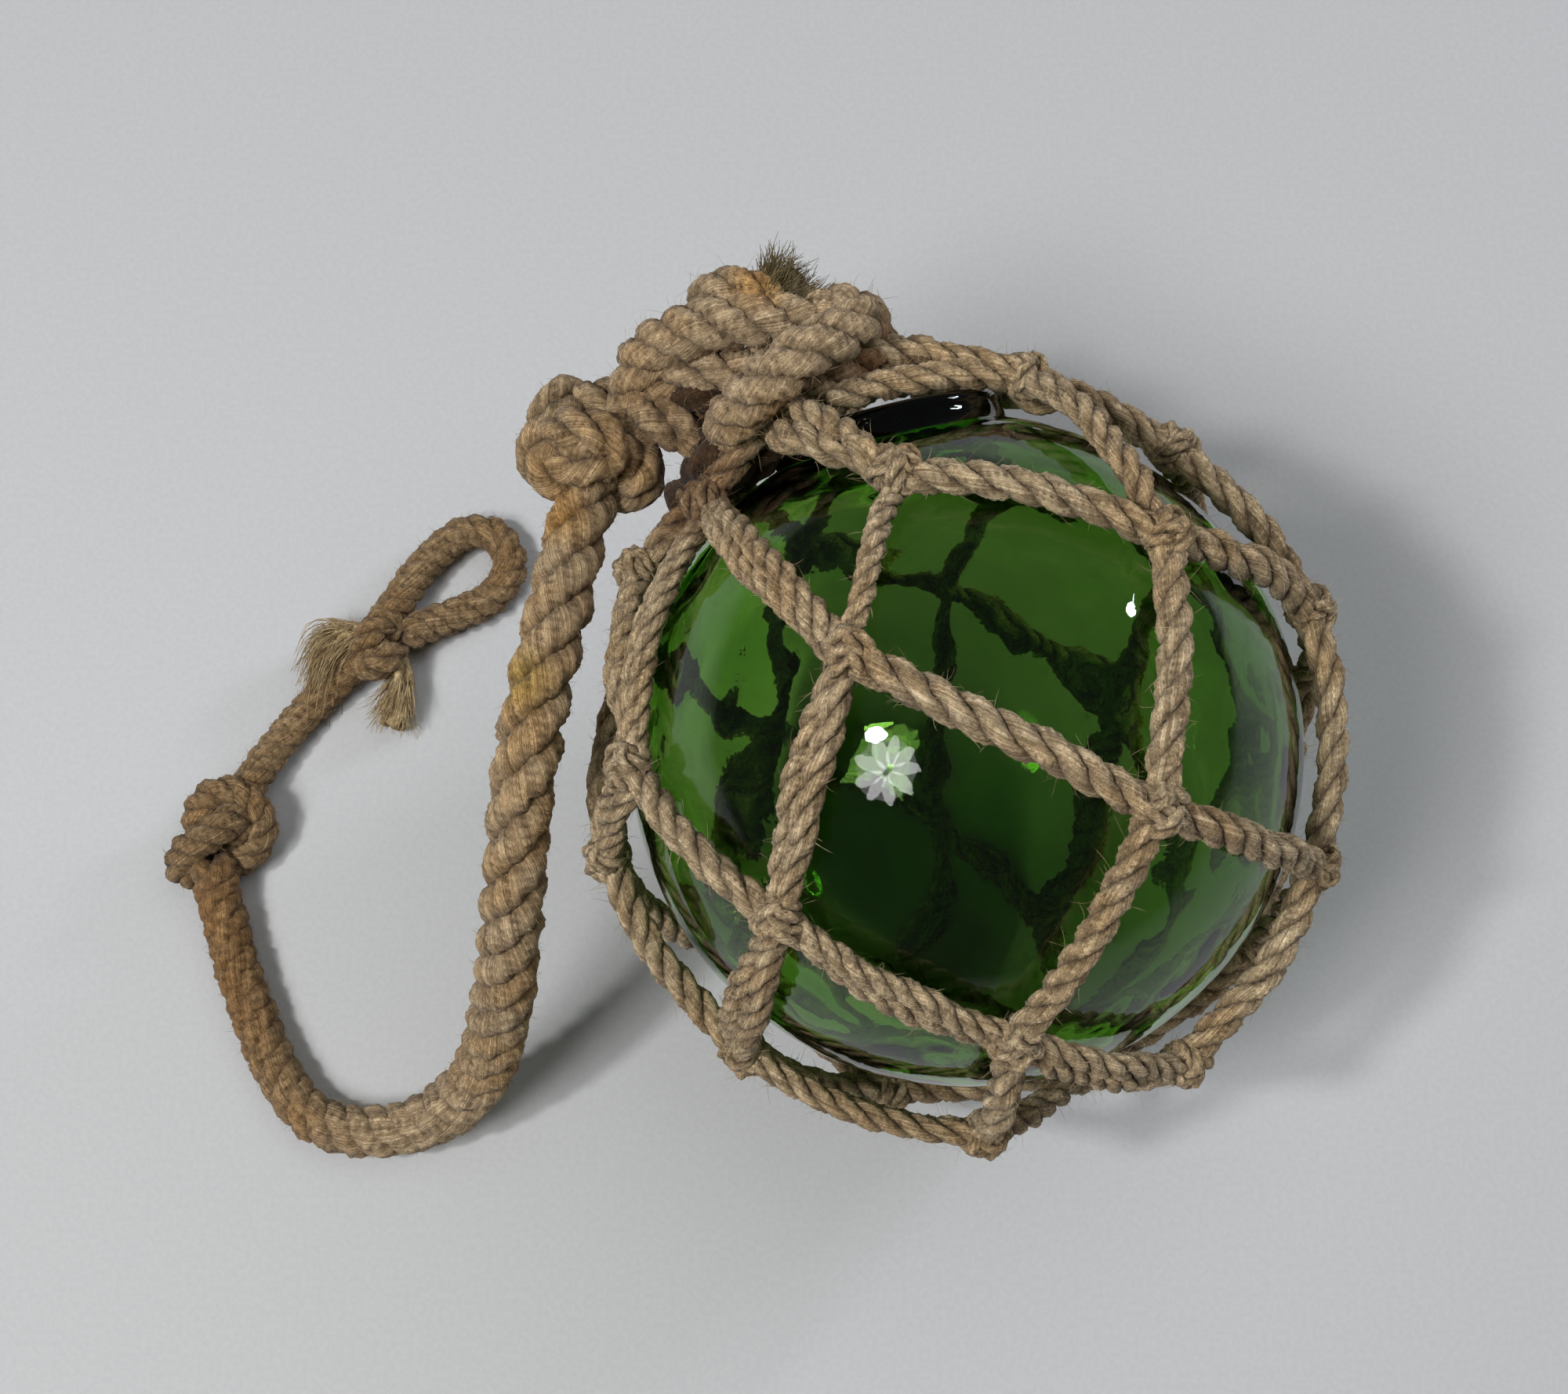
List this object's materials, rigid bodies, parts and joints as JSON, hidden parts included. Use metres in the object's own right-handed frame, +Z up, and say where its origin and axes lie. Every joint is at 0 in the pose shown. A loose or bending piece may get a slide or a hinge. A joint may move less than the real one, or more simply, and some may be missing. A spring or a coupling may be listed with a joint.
{
  "type": "glass float ball",
  "caption": "Sealed green glass fishing float in a knotted jute net, with a head knot, a stopper knot and a rope lanyard that ends in a small knot and a tied eye.",
  "frame": {"origin": "on the table, straight under the middle of the glass, at the underside of the net knot that the ball rests on", "axes": "+Z up. The net's head is at the back left, towards -X and +Y, and the lanyard comes forward along -Y on the left and curls round towards -X"},
  "size_m": [0.2794, 0.1919, 0.1631],
  "materials": {
    "green_glass": "clear bottle-green glass, smooth and glossy",
    "net_jute": "hairy laid jute twine, grey brown",
    "rope_jute": "three-strand laid jute rope, pale brown with golden fibres",
    "tail_jute": "thinner laid jute rope, warm brown"
  },
  "bodies": {
    "root": {"glass_float": "green_glass", "net": "net_jute", "head_knot": "rope_jute", "stopper_knot": "rope_jute", "lanyard_rope": "rope_jute", "small_knot": "tail_jute", "lanyard_tail": "tail_jute", "eye_knot": "tail_jute", "eye_loop": "tail_jute"}
  },
  "joints": []
}
